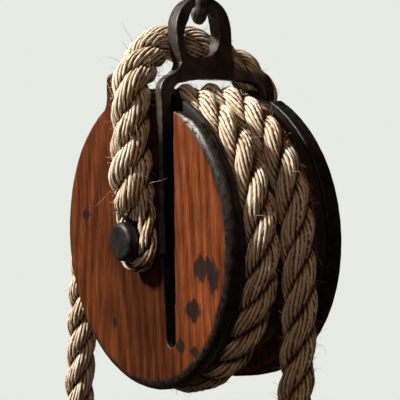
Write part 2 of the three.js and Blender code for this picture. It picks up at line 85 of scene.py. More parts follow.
STROP_R = 0.0124
STROP_LAY = 0.062
STROP_YARNS = 13
STROP_PHASE = 0.4
SPLICE_SWELL = 0.13  # how much thicker the strop is where its ends are spliced
END_NARROW = 0.28  # how much thinner it gets as it meets the rope round the pin

EYE_FRONT_Y = -0.0528  # the strop's two eyes, round the pin
EYE_BACK_Y = 0.0504
EYE_LEAN = 0.0030  # how far an eye's ends stand out from its ring
EYE_SEAT_R = 0.0149  # pin's middle to the middle of the strop's rope round it
EYE_ROPE_R = 0.0058
EYE_LAY = 0.052
EYE_YARNS = 6
EYE_PHASE = 1.1

PITCH_R = 0.092  # axle to the middle of the rope on the sheave
FRONT_TURN_Y = -0.0216
BACK_TURN_Y = 0.0067
CROSS_FROM = 105  # degrees round the sheave between which the rope crosses over
CROSS_TO = 285
WRAP_END = 475

LEG_OFF = 0.0113  # seizing's middle to the middle of either rope in it
TAIL_OUT = 0.008  # how far a fall's tail stands above its seizing
THIMBLE_SEAT_R = 0.024  # thimble's middle to the middle of the rope round it
TWINE_R = 0.00115
TWINE_TURNS = 12

HAIR_SEED = 42
SHORT_HAIR_R = 0.00015
LONG_HAIR_R = 0.00019

LINK_BAR_R = 0.0044
LINK_SWING = math.radians(60)

CHEEK_MIDDLE_X = -0.006
FRONT_FACE_Y = -0.046
BACK_FACE_Y = 0.0436
SLOT_LEFT = (0.0160, 0.0223)  # the slot's walls, at its top and at its foot
SLOT_RIGHT = (0.0365, 0.0325)
SLOT_TOP_Z = 0.0940
SLOT_FOOT_Z = -0.0680
HORN_LEFT = -0.044  # the horn on the front cheek
HORN_RIGHT = -0.015
HORN_TOP = 0.112

RIM_R = 0.0950  # where a cheek's dark rim is fully dark, and where a liner's chamfer starts
LINER_CHAMFER = 0.9  # how far the liner's inner face falls back, for each metre past RIM_R

STRAP_SHADE_LOW_Z = 0.055  # painted shade: the strap is painted black below this height, where it lies deep in the slot, and keeps its colour above the next
STRAP_SHADE_HIGH_Z = 0.088

FLOOR_DROP = 0.28  # the floor's distance below the model
FLOOR_R = 0.85
FLOOR_COLOR = (0.50, 0.505, 0.48)
BACKDROP_COLOR = (0.806, 0.823, 0.775, 1)
ROOM_LIGHT_COLOR = (1.0, 0.70, 0.52, 1)
ROOM_LIGHT_STRENGTH = 0.03

# The ropes' routes, as in the part, from the axle's middle.
NEAR_ROUTE = [
    (0.0920, 0.0067, -0.0012),
    (0.0926, 0.0067, -0.0120),
    (0.0933, 0.0067, -0.0240),
    (0.0934, 0.0067, -0.0360),
    (0.0928, 0.0067, -0.0480),
    (0.0915, 0.0067, -0.0600),
    (0.0898, 0.0067, -0.0730),
    (0.0883, 0.0067, -0.0860),
    (0.0872, 0.0067, -0.0990),
    (0.0864, 0.0067, -0.1100),
    (0.0860, 0.0067, -0.1180),
]
NEAR_EYE = (0.0755, 0.0067, -0.1890)

FAR_ROUTE = [
    (-0.0400, -0.0216, 0.0829),
    (-0.0540, -0.0216, 0.0758),
    (-0.0700, -0.0216, 0.0656),
    (-0.0860, -0.0216, 0.0520),
    (-0.0995, -0.0216, 0.0360),
    (-0.1100, -0.0216, 0.0170),
    (-0.1176, -0.0216, -0.0030),
    (-0.1225, -0.0216, -0.0230),
    (-0.1258, -0.0216, -0.0430),
    (-0.1286, -0.0216, -0.0630),
    (-0.1320, -0.0216, -0.0850),
    (-0.1352, -0.0216, -0.1070),
    (-0.1380, -0.0216, -0.1280),
    (-0.1396, -0.0216, -0.1420),
    (-0.1402, -0.0216, -0.1510),
]
FAR_EYE = (-0.1315, -0.0216, -0.2220)

# The strop, from its front eye over the top to its back eye.
STROP_ROUTE = [
    (0.0000, -0.0528, 0.0160),
    (0.0022, -0.0552, 0.0270),
    (0.0048, -0.0587, 0.0400),
    (0.0060, -0.0590, 0.0570),
    (0.0070, -0.0590, 0.0770),
    (0.0075, -0.0589, 0.0900),
    (0.0063, -0.0576, 0.1005),
    (0.0038, -0.0530, 0.1078),
    (-0.0010, -0.0434, 0.1170),
    (-0.0064, -0.0354, 0.1232),
    (-0.0110, -0.0284, 0.1275),
    (-0.0124, -0.0200, 0.1302),
    (-0.0126, -0.0060, 0.1309),
    (-0.0126, 0.0080, 0.1294),
    (-0.0124, 0.0210, 0.1248),
    (-0.0118, 0.0320, 0.1194),
    (-0.0096, 0.0432, 0.1144),
    (-0.0070, 0.0506, 0.1064),
    (-0.0046, 0.0552, 0.0980),
    (-0.0028, 0.0570, 0.0870),
    (-0.0010, 0.0574, 0.0700),
    (0.0000, 0.0564, 0.0500),
    (0.0000, 0.0536, 0.0320),
    (0.0000, 0.0504, 0.0160),
]

# Long loose fibres that stand well off the ropes.
LONG_FIBRES = [
    [(-0.008, -0.0462, 0.1297), (-0.008, -0.0491, 0.1348), (-0.008, -0.0528, 0.1399),
     (-0.008, -0.0542, 0.1450)],
    [(-0.006, -0.0574, 0.1169), (-0.008, -0.0626, 0.1194), (-0.010, -0.0686, 0.1205),
     (-0.011, -0.0710, 0.1172)],
    [(-0.008, -0.0660, 0.0337), (-0.016, -0.0665, 0.0285), (-0.026, -0.0660, 0.0240),
     (-0.033, -0.0655, 0.0215)],
    [(0.0180, -0.0560, 0.0370), (0.0240, -0.0545, 0.0385), (0.0310, -0.0530, 0.0395),
     (0.0370, -0.0520, 0.0410)],
    [(0.0935, 0.0160, 0.0212), (0.0975, 0.0185, 0.0240), (0.0995, 0.0200, 0.0238),
     (0.0960, 0.0190, 0.0208)],
    [(0.1000, 0.0067, -0.0560), (0.1080, 0.0067, -0.0615), (0.1150, 0.0067, -0.0628),
     (0.1170, 0.0067, -0.0670)],
    [(0.0980, -0.0200, -0.0100), (0.1010, -0.0120, -0.0190), (0.0985, -0.0060, -0.0260),
     (0.0950, -0.0030, -0.0300)],
    [(0.0990, -0.0150, -0.0400), (0.1005, -0.0080, -0.0470), (0.0990, -0.0030, -0.0580)],
]

# Dark marks on the front cheek: across, up, half width and half height.
MARKS = [
    (0.0625, -0.0144, 0.0085, 0.0098),
    (0.0748, -0.0196, 0.0078, 0.0140),
    (0.0700, -0.0120, 0.0050, 0.0060),
    (0.0532, -0.0414, 0.0098, 0.0088),
    (-0.0413, -0.0587, 0.0040, 0.0040),
    (0.0380, -0.0655, 0.0070, 0.0052),
    (0.0540, -0.0670, 0.0050, 0.0044),
    (-0.0767, 0.0146, 0.0065, 0.0044),
]


def world(points):
    """Points on the block, from the axle's middle, in the model's frame."""
    return AXLE + np.asarray(points, float)


def step(value, low, high):
    """0 below low, 1 above high, smooth between."""
    t = np.clip((value - low) / (high - low), 0, 1)
    return t * t * (3 - 2 * t)


# ------------------------------------------------------------------ camera

def add_camera():
    """The viewing angle: turned to the block's right, a little above it and a little tilted."""
    azimuth = math.radians(54.70)
    elevation = math.radians(2.31)
    roll = -0.025
    distance = 0.8
    target = Vector(world((-0.001356, 0, 0.024354)))
    flat = math.cos(elevation)
    back = Vector((math.sin(azimuth) * flat, -math.cos(azimuth) * flat, math.sin(elevation)))
    level = Vector((math.cos(azimuth), math.sin(azimuth), 0))
    upright = back.cross(level)
    right = math.cos(roll) * level + math.sin(roll) * upright
    up = math.cos(roll) * upright - math.sin(roll) * level
    data = bpy.data.cameras.new("camera")
    data.sensor_width = 36
    data.lens = 105.93
    camera = bpy.data.objects.new("camera", data)
    bpy.context.scene.collection.objects.link(camera)
    place = Matrix((right, up, back)).transposed().to_4x4()
    place.translation = target + distance * back
    camera.matrix_world = place
    bpy.context.scene.camera = camera


# ------------------------------------------------------------------ lines

def smooth_line(points, spacing):
    """A smooth line through the points, cut into equal steps."""
    p = np.asarray(points, float)
    p = np.vstack([2 * p[0] - p[1], p, 2 * p[-1] - p[-2]])
    pieces = []
    for a, b, c, d in zip(p, p[1:], p[2:], p[3:]):
        t1 = math.sqrt(np.linalg.norm(b - a))
        t2 = t1 + math.sqrt(np.linalg.norm(c - b))
        t3 = t2 + math.sqrt(np.linalg.norm(d - c))
        t = np.linspace(t1, t2, 24, endpoint=False)[:, None]
        ab = (t1 - t) / t1 * a + t / t1 * b
        bc = (t2 - t) / (t2 - t1) * b + (t - t1) / (t2 - t1) * c
        cd = (t3 - t) / (t3 - t2) * c + (t - t2) / (t3 - t2) * d
        abc = (t2 - t) / t2 * ab + t / t2 * bc
        bcd = (t3 - t) / (t3 - t1) * bc + (t - t1) / (t3 - t1) * cd
        pieces.append((t2 - t) / (t2 - t1) * abc + (t - t1) / (t2 - t1) * bcd)
    pieces.append(p[-2:-1])
    return equal_steps(np.vstack(pieces), spacing)


def run_along(line):
    """The distance from the line's start to each of its points."""
    return np.concatenate([[0], np.cumsum(np.linalg.norm(np.diff(line, axis=0), axis=1))])


def equal_steps(line, spacing):
    """The same line, with its points a whole number of equal steps apart."""
    run = run_along(line)
    at = np.linspace(0, run[-1], max(2, int(round(run[-1] / spacing)) + 1))
    return np.stack([np.interp(at, run, line[:, k]) for k in range(3)], axis=1)


def unit(vectors):
    """The same directions, each of length 1."""
    return vectors / np.linalg.norm(vectors, axis=-1, keepdims=True)


def carried_frame(line):
    """The line's direction and two side vectors, carried along it without twisting."""
    along = unit(np.gradient(line, axis=0))
    side = np.empty_like(line)
    lean = (0, 1, 0) if abs(along[0][1]) < 0.8 else (1, 0, 0)
    side[0] = unit(np.cross(along[0], lean))
    for i in range(1, len(line)):
        side[i] = unit(side[i - 1] - along[i] * (side[i - 1] @ along[i]))
    return along, side, np.cross(along, side)


# ------------------------------------------------------------------ meshes

def add_mesh(name, vertices, faces, material, attributes=()):
    mesh = bpy.data.meshes.new(name)
    mesh.from_pydata(np.asarray(vertices).tolist(), [], faces)
    mesh.polygons.foreach_set("use_smooth", [True] * len(mesh.polygons))
    for key, values in dict(attributes).items():
        add_values(mesh, key, values)
    mesh.update()
    piece = bpy.data.objects.new(name, mesh)
    bpy.context.scene.collection.objects.link(piece)
    mesh.materials.append(material)
    return piece


def add_values(mesh, key, values):
    """A number or a vector for each vertex, under a name that a material can read."""
    values = np.asarray(values, np.float32)
    if values.ndim == 2:
        mesh.attributes.new(key, "FLOAT_VECTOR", "POINT").data.foreach_set("vector", values.ravel())
    else:
        mesh.attributes.new(key, "FLOAT", "POINT").data.foreach_set("value", values)


def finish_piece(piece, body, slot, *nodes):
    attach(piece, body)
    if nodes:
        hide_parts(*nodes)
    return piece


def tube_faces(rings, sides, first=0):
    """Quads round a tube of rings, with a fan of one many-sided face at each end."""
    grid = first + np.arange(rings * sides).reshape(rings, sides)
    turned = np.roll(grid, -1, axis=1)
    quads = np.stack([grid[:-1], turned[:-1], turned[1:], grid[1:]], axis=-1).reshape(-1, 4)
    return quads.tolist() + [grid[0][::-1].tolist(), grid[-1].tolist()]


# ------------------------------------------------------------------ laid rope

def strand_path(line, frames, run, rope_radius, lay, turn, seed):
    """The helix that a strand's middle follows, with its outward and sideways directions."""
    _, side, other = frames
    wander = 0.05 * np.sin(run / 0.031 + seed) + 0.04 * np.sin(run / 0.013 + 2 * seed)
    angle = turn + 2 * math.pi * run / lay + wander
    outward = np.cos(angle)[:, None] * side + np.sin(angle)[:, None] * other
    middle = line + ((1 - STRAND_SHARE) * rope_radius)[:, None] * outward
    direction = unit(np.gradient(middle, axis=0))
    across = unit(np.cross(direction, outward))
    return middle, np.cross(across, direction), across


def strand(line, frames, run, rope_radius, lay, turn, yarns, seed):
    """One strand of a three-strand rope: a tube with a ridge for each yarn, nearly in line with the
    rope. The yarns sway and swell a little, and show their plies. Returns its points, the number
    in each ring, and the values that the rope's material reads."""
    rng = np.random.default_rng(seed)
    middle, outward, across = strand_path(line, frames, run, rope_radius, lay, turn, seed)
    sides = yarns * YARN_POINTS
    column = np.arange(sides)
    yarn = column // YARN_POINTS
    place = ((column % YARN_POINTS) / YARN_POINTS * 2 - 1)[None, :]  # across the yarn, from -1 to 1
    ridge = np.sqrt(1 - place ** 2 * 0.97)
    typical = float(np.median(rope_radius))
    yarn_half = math.pi * STRAND_SHARE * typical / yarns
    twist = (2 * math.pi * typical / lay - YARN_LEAN) / (STRAND_SHARE * typical)
    offsets = rng.uniform(0, 2 * math.pi, yarns)[yarn][None, :]
    tones = rng.uniform(0, 1, yarns)[yarn][None, :]
    run = run[:, None]
    shifted = run + 0.02 * offsets
    sway = np.sin(shifted / 0.0051) + np.sin(shifted / 0.0083 + 1.7)
    around = (2 * math.pi * column / sides)[None, :] - twist * run + 0.22 * math.pi / yarns * sway
    swell = 0.16 * np.sin(shifted / 0.0062) + 0.13 * np.sin(shifted / 0.0137 + 0.6)
    plies = 0.10 * np.sin(2 * math.pi * (shifted / 0.0075 + 0.5 * place))
    height = (STRAND_SHARE * rope_radius)[:, None] + yarn_half * (ridge - 0.75 + swell + plies)
    points = (
        middle[:, None, :]
        + (height * np.cos(around))[..., None] * outward[:, None, :]
        + (height * np.sin(around))[..., None] * across[:, None, :]
    )
    every = np.ones_like(around)
    fibre = np.stack([
        (run + seed * 0.37) * every,
        yarn_half * place + 0.45 * run,
        (0.01 * yarn)[None, :] * every,
    ], axis=-1)
    values = {
        "fibre": fibre.reshape(-1, 3),
        "tone": (tones + 0.25 * np.sin(run / 0.043 + offsets)).ravel(),
        # Painted shade: the side of each strand that faces the rope's middle, where the strands meet.
        "painted_strand_shade": step(-np.cos(around), -0.55, 0.6).ravel(),
        # How deep each point lies in the groove between two yarns, which the material paints as shade.
        "groove": ((1 - ridge) ** 1.6 * every).ravel(),
    }
    return points.reshape(-1, 3), sides, values


def laid_rope(name, line, frames, run, radius, lay, phase, yarns, material):
    """A three-strand, right-hand laid rope along the line, with its radius at each point of it."""
    vertices, faces, strands = [], [], []
    count = 0
    for number in range(3):
        turn = phase + number * 2 * math.pi / 3
        points, sides, values = strand(line, frames, run, radius, lay, turn, yarns, number + 1)
        faces += tube_faces(len(line), sides, count)
        count += len(points)
        vertices.append(points)
        strands.append(values)
    values = {key: np.concatenate([each[key] for each in strands]) for key in strands[0]}
    return add_mesh(name, np.vstack(vertices), faces, material, values)


def eased_ends(count, thin_first, thin_last):
    """Rope thickness factors: 1, but a little less at the first and last few rings, which are
    tucked inside the next stretch of rope."""
    factor = np.ones(count)
    factor[:thin_first] = np.linspace(0.93, 0.98, thin_first)
    factor[count - thin_last:] = np.linspace(0.98, 0.93, thin_last)
    return factor


def fall_line(route, eye, turn_sign):
    """A fall's middle line with its eye: down the route, along one side of the seizing, round the
    thimble and up the seizing's other side. turn_sign is +1 where the fall joins the eye's right."""
    x, y, z = eye
    top = route[-1][2]
    down_x = x + turn_sign * LEG_OFF
    up_x = x - turn_sign * LEG_OFF
    down = [(down_x, y, top - drop) for drop in (0.012, 0.024)]
    bend = []
    for i in range(13):
        angle = math.radians(20 - 220 * i / 12)
        across = turn_sign * THIMBLE_SEAT_R * math.cos(angle)
        bend.append((x + across, y, z + THIMBLE_SEAT_R * math.sin(angle)))
    up = [(up_x, y, top - drop) for drop in (0.030, 0.018, -TAIL_OUT)]
    return list(route) + down + bend + up


def wrap_points():
    """The rope on the sheave, from the near fall, over the top and round to the far fall."""
    points = []
    for degrees in np.linspace(0, WRAP_END, 96):
        angle = math.radians(degrees)
        crossed = float(step(degrees, CROSS_FROM, CROSS_TO))
        y = BACK_TURN_Y + (FRONT_TURN_Y - BACK_TURN_Y) * crossed
        points.append((PITCH_R * math.cos(angle), y, PITCH_R * math.sin(angle)))
    return points


def hauling_rope(material):
    """One rope from eye to eye, laid as a whole so that its strands run on from piece to piece."""
    near = fall_line(NEAR_ROUTE, NEAR_EYE, 1)
    far = fall_line(FAR_ROUTE, FAR_EYE, -1)
    lines = [
        smooth_line(world(near), ROPE_STEP)[::-1],
        smooth_line(world(wrap_points()), ROPE_STEP),
        smooth_line(world(far), ROPE_STEP),
    ]
    joined = equal_steps(np.vstack(lines), ROPE_STEP)
    frames = carried_frame(joined)
    lengths = [run_along(line)[-1] for line in lines]
    run = run_along(joined) - lengths[0]
    near_end = int(round(lengths[0] / ROPE_STEP))
    far_start = len(joined) - 1 - int(round(lengths[2] / ROPE_STEP))
    tuck = 3
    spans = {
        "near_rope": (0, near_end + tuck, 0, tuck - 1),
        "sheave_rope": (near_end, far_start + 1, 0, 0),
        "far_rope": (far_start - tuck, len(joined), tuck, 0),
    }
    pieces = {}
    for name, (low, high, thin_first, thin_last) in spans.items():
        part = slice(low, high)
        radius = ROPE_R * eased_ends(high - low, thin_first, thin_last)
        cut = tuple(vectors[part] for vectors in frames)
        pieces[name] = laid_rope(
            name, joined[part], cut, run[part], radius, ROPE_LAY, ROPE_PHASE, ROPE_YARNS, material
        )
        pieces[name + "_line"] = joined[part]
    return pieces


def strop_rope(material):
    """The strop over the top, swollen above each eye where its ends are spliced."""
    line = smooth_line(world(STROP_ROUTE), ROPE_STEP)
    run = run_along(line)
    from_end = np.minimum(run, run[-1] - run)
    swollen = 1 + SPLICE_SWELL * step(from_end, 0.004, 0.016) * (1 - step(from_end, 0.03, 0.055))
    narrow = (1 - END_NARROW) + END_NARROW * step(from_end, 0.0, 0.010)
    radius = STROP_R * swollen * narrow
    return laid_rope(
        "strop", line, carried_frame(line), run, radius, STROP_LAY, STROP_PHASE, STROP_YARNS, material
    )


def strop_eye(name, y, outer_y, material):
    """The strop's thinner rope round the pin. Its two ends taper into the splice, at outer_y."""
    ring = [
        (EYE_SEAT_R * math.cos(math.radians(degrees)), y, EYE_SEAT_R * math.sin(math.radians(degrees)))
        for degrees in range(160, 381, 20)
    ]
    left = [(-0.0030, outer_y, 0.042), (-0.0080, outer_y, 0.031), (-0.0126, y, 0.018)]
    right = [(0.0134, y, 0.018), (0.0110, outer_y, 0.031), (0.0060, outer_y, 0.044)]
    line = smooth_line(world(left + ring + right), ROPE_STEP)
    run = run_along(line)
    from_end = np.minimum(run, run[-1] - run)
    radius = EYE_ROPE_R * (0.6 + 0.4 * step(from_end, 0.0, 0.018))
    return laid_rope(
        name, line, carried_frame(line), run, radius, EYE_LAY, EYE_PHASE, EYE_YARNS, material
    )


# ------------------------------------------------------------------ loose fibres

def hair_tube(points, thick):
    """A thin tapered fibre: its vertices, ring by ring, each ring with three corners."""
    _, side, other = carried_frame(points)
    size = thick * np.linspace(1, 0.35, len(points))[:, None]
    corners = [math.radians(a) for a in (90, 210, 330)]
    rings = [points + size * (math.cos(a) * side + math.sin(a) * other) for a in corners]
    return np.stack(rings, axis=1).reshape(-1, 3)


def random_hairs(line, radius, count, shortest, longest, rng):
    """Fibres that start on the rope's surface and curl away from it."""
    along, side, other = carried_frame(line)
    found = []
    for _ in range(count):
        i = int(rng.integers(2, len(line) - 2))
        angle = rng.uniform(0, 2 * math.pi)
        outward = math.cos(angle) * side[i] + math.sin(angle) * other[i]
        sideways = math.cos(angle) * other[i] - math.sin(angle) * side[i]
        start = line[i] + 0.93 * radius * outward
        heading = outward * rng.uniform(0.25, 1.0)
        heading = heading + along[i] * rng.normal(0, 0.9) + sideways * rng.normal(0, 0.5)
        heading = unit(heading)
        length = shortest + (longest - shortest) * rng.uniform() ** 2.5
        curl = unit(rng.normal(size=3)) * length * rng.uniform(0.1, 0.6)
        t = np.linspace(0, 1, 6)[:, None]
        found.append(start + heading * length * t + curl * t * t)
    return found


def clear_of_link(points):
    """Whether a fibre stays out of a wedge above the hinge, as wide as the link's swing. The wedge
    is square to the hinge and the link stands turned, so at one end of its swing the link's lower
    side still touches a few fibres that this lets through."""
    _, y, z = (np.asarray(points) - LINK_HINGE).T
    below = np.abs(y) * math.cos(LINK_SWING) - z * math.sin(LINK_SWING)
    return bool((below > LINK_BAR_R).all())


def loose_fibres(name, hairs, thick, material):
    """One mesh of many hairs, without those that stand in the wedge above the link's hinge."""
    hairs = [points for points in hairs if clear_of_link(points)]
    vertices, faces = [], []
    count = 0
    for points in hairs:
        tube = hair_tube(np.asarray(points), thick)
        vertices.append(tube)
        faces += tube_faces(len(points), 3, count)
        count += len(tube)
    return add_mesh(name, np.vstack(vertices), faces, material)


def add_fibres(pieces, material):
    """Loose fibres on the strop and on the rope, most of them where it bends over the sheave."""
    rng = np.random.default_rng(HAIR_SEED)
    strop = smooth_line(world(STROP_ROUTE), ROPE_STEP)
    on_sheave = pieces["sheave_rope_line"]
    near = pieces["near_rope_line"]
    far = pieces["far_rope_line"]
    # Each stretch of rope: its line, its radius, how many fibres, the shortest and the longest.
    short_ones = [
        (strop, STROP_R, 760, 0.0018, 0.009),
        (on_sheave, ROPE_R, 900, 0.0018, 0.009),
        (near[:-60], ROPE_R, 10, 0.002, 0.006),
        (near[-110:], ROPE_R, 170, 0.002, 0.010),
        (far[:180], ROPE_R, 200, 0.002, 0.009),
    ]
    long_ones = [
        (strop, STROP_R, 22, 0.008, 0.017),
        (on_sheave, ROPE_R, 34, 0.007, 0.016),
    ]
    short_hairs = [hair for stretch in short_ones for hair in random_hairs(*stretch, rng)]
    long_hairs = [smooth_line(world(points), 0.003) for points in LONG_FIBRES]
    long_hairs += [hair for stretch in long_ones for hair in random_hairs(*stretch, rng)]
    for name, hairs, thick in (
        ("short_fibres", short_hairs, SHORT_HAIR_R),
        ("long_fibres", long_hairs, LONG_HAIR_R),
    ):
        finish_piece(loose_fibres(name, hairs, thick, material), "block", "manila_rope")


# ------------------------------------------------------------------ seizings

def round_pair(t, radius):
    """Where twine lies as it goes once round two ropes side by side, for t from 0 to 4: along the
    near side, round the right rope, back along the far side and round the left rope."""
    if t < 1:
        return LEG_OFF * (2 * t - 1), -radius
    if t < 2:
        turn = math.pi * (t - 1)
        return LEG_OFF + radius * math.sin(turn), -radius * math.cos(turn)
    if t < 3:
        return LEG_OFF * (1 - 2 * (t - 2)), radius
    turn = math.pi * (t - 3)
    return -LEG_OFF - radius * math.sin(turn), radius * math.cos(turn)


def seizing(name, top, eye, material):
    """Twine wound round the two parts of a rope, and twice across the turns between them."""
    x, y, _ = eye
    radius = ROPE_R + 0.0004
    corners = 40
    pitch = 2.15 * TWINE_R
    start_z = top - 0.0018
    wound = []
    for i in range(TWINE_TURNS * corners + 1):
        across, deep = round_pair((i % corners) / corners * 4, radius)
        wound.append((x + across, y + deep, start_z - pitch * i / corners))
    vertices, faces = round_tube(world(wound), TWINE_R, 8, 0)
    middle_z = start_z - pitch * TWINE_TURNS / 2
    reach_z = pitch * TWINE_TURNS / 2 + 0.0014
    reach_y = radius + 2 * TWINE_R
    for offset in (-0.0013, 0.0013):
        loop = []
        for i in range(33):
            angle = 2 * math.pi * i / 32
            deep = reach_y * math.sin(angle)
            loop.append((x + offset, y + deep, middle_z + reach_z * math.cos(angle)))
        extra, more = round_tube(world(loop), TWINE_R, 8, len(vertices))
        vertices = np.vstack([vertices, extra])
        faces += more
    return add_mesh(name, vertices, faces, material)


def round_tube(line, radius, sides, first):
    """A plain round tube along a line: its vertices, and its faces numbered from first."""
    _, side, other = carried_frame(line)
    angle = 2 * math.pi * np.arange(sides) / sides
    points = (
        line[:, None, :]
        + radius * np.cos(angle)[None, :, None] * side[:, None, :]
        + radius * np.sin(angle)[None, :, None] * other[:, None, :]
    )
    return points.reshape(-1, 3), tube_faces(len(line), sides, first)


# ------------------------------------------------------------------ shells refined from the part

def refined(node, name, voxel, rounds):
    """A fine copy of a part's solid in the same place, its edges softened by rounds of smoothing."""
    mesh = frame["nodes"][node].data.copy()
    mesh.materials.clear()
    piece = bpy.data.objects.new(name, mesh)
    bpy.context.scene.collection.objects.link(piece)
    remesh = piece.modifiers.new("remesh", "REMESH")
    remesh.mode = "VOXEL"
    remesh.voxel_size = voxel
    remesh.use_smooth_shade = True
    soften = piece.modifiers.new("soften", "SMOOTH")
    soften.factor = 0.5
    soften.iterations = rounds
    bpy.context.view_layer.update()
    shown = piece.evaluated_get(bpy.context.evaluated_depsgraph_get())
    fine = bpy.data.meshes.new_from_object(shown)
    piece.modifiers.clear()
    piece.data = fine
    fine.name = name
    return piece


def vertex_places(piece):
    places = np.empty(len(piece.data.vertices) * 3, np.float32)
    piece.data.vertices.foreach_get("co", places)
    return places.reshape(-1, 3).astype(float)


def move_vertices(piece, places):
    piece.data.vertices.foreach_set("co", places.astype(np.float32).ravel())
    piece.data.update()


def vertex_normals(piece):
    normals = np.empty(len(piece.data.vertices) * 3, np.float32)
    piece.data.vertex_normals.foreach_get("vector", normals)
    return normals.reshape(-1, 3).astype(float)


def edge_amount(piece, spread):
    """How far each vertex stands proud of its neighbours: 0 on flats and hollows, 1 on sharp edges."""
    places = vertex_places(piece)
    normals = vertex_normals(piece)
    pairs = np.empty(len(piece.data.edges) * 2, np.int64)
    piece.data.edges.foreach_get("vertices", pairs)
    pairs = pairs.reshape(-1, 2)
    count = np.bincount(pairs.ravel(), minlength=len(places))[:, None].clip(1)

    def around(values):
        total = np.zeros_like(values)
        np.add.at(total, pairs[:, 0], values[pairs[:, 1]])
        np.add.at(total, pairs[:, 1], values[pairs[:, 0]])
        return total / count

    proud = ((places - around(places)) * normals).sum(1, keepdims=True)
    for _ in range(spread):
        proud = 0.5 * proud + 0.5 * around(proud)
    proud = proud[:, 0]
    return np.clip(proud / max(1e-9, np.percentile(proud, 99.5)), 0, 1)


def roughen(piece, amount, size, stretch=(1, 1, 1)):
    """Small dents and waves in the surface, along its normals."""
    places = vertex_places(piece)
    normals = vertex_normals(piece)
    scale = np.array(stretch) / size
    wave = np.array([noise.noise(Vector(p)) for p in places * scale])
    fine = np.array([noise.noise(Vector(p)) for p in places * scale * 3.1])
    move_vertices(piece, places + normals * (amount * (wave + 0.4 * fine))[:, None])


def slot_walls(z):
    """Where the walls of a cheek's slot are at each height: it narrows towards its foot."""
    down = (SLOT_TOP_Z - z) / (SLOT_TOP_Z - SLOT_FOOT_Z)
    return [top + (foot - top) * down for top, foot in (SLOT_LEFT, SLOT_RIGHT)]


def mark_amount(x, z):
    """How far inside a dark mark each place is: 0 outside them all, 1 at the middle of one."""
    amount = np.zeros_like(x)
    for across, up, wide, tall in MARKS:
        reach = np.abs((x - across) / wide) ** 1.3 + np.abs((z - up) / tall) ** 1.3
        amount = np.maximum(amount, np.clip(1 - 0.5 * reach, 0, 1))
    return amount


def paint_cheek(piece, outer_y, front):
    """Values for the wood: where it is dark, grey, marked or lighter. The dark parts are the rim, the
    horn's edge and the slot's walls, whose darkness is painted shade; the front rim is dark only at
    its top and left. The grey on the top edges is wear and painted highlight."""
    places = vertex_places(piece) - AXLE
    x, y, z = places.T
    radius = np.hypot(x - CHEEK_MIDDLE_X, z)
    angle = np.degrees(np.arctan2(z, x - CHEEK_MIDDLE_X))
    wobble = np.array([noise.noise(Vector(p) * 60) for p in places]) * 0.0012
    rim = step(radius + wobble, 0.0915, RIM_R)
    side = 1 - step(np.abs(vertex_normals(piece)[:, 1]), 0.35, 0.7)
    rim = np.maximum(rim, side)
    left_wall, right_wall = slot_walls(z)
    margin = 0.0007
    in_slot = (x > left_wall - margin) & (x < right_wall + margin) & (z > SLOT_FOOT_Z - margin)
    below_face = step(np.abs(y - outer_y), 0.0004, 0.0016)
    outer_band = step(radius, 0.0925, RIM_R) * (1 - step(radius, 0.0975, 0.0990)) * (below_face < 1)
    # Grey on the rim's upper-right edge: wear and painted highlight.
    wear_and_highlight = outer_band * step(angle, 36, 50) * (1 - step(angle, 62, 70))
    if front:
        rim = rim * step(angle, -142, -128) * (1 - step(angle, 80, 95))
        on_horn = (z > 0.090) & (x > -0.05) & (x < -0.012)
        inside = np.minimum.reduce([x - HORN_LEFT, HORN_RIGHT - x, HORN_TOP - z])
        rim = np.where(on_horn, 1 - step(inside + wobble, 0.0008, 0.0032), rim)
        # Grey on the horn's top: wear and painted highlight.
        wear_and_highlight = np.maximum(wear_and_highlight, 0.8 * step(z, 0.1085, 0.1112) * on_horn)
    marks = mark_amount(x, z) if front else np.zeros_like(x)
    # Painted shade: the slot's walls below the face are as dark as the rim.
    dark = np.maximum(rim, in_slot * below_face)
    lighter = 0.9 * step(x, 0.020, 0.052) + 0.32 * step(-x, 0.025, 0.065)
    for key, values in (("dark", dark), ("wear_and_highlight", wear_and_highlight), ("marks", marks), ("lighter", lighter)):
        add_values(piece.data, key, values)


# ------------------------------------------------------------------ materials

# Near-black: painted shade on the strap deep in its slot, and laid over the front lining's outward
# face.
NEAR_BLACK = (0.001, 0.0008, 0.0007)


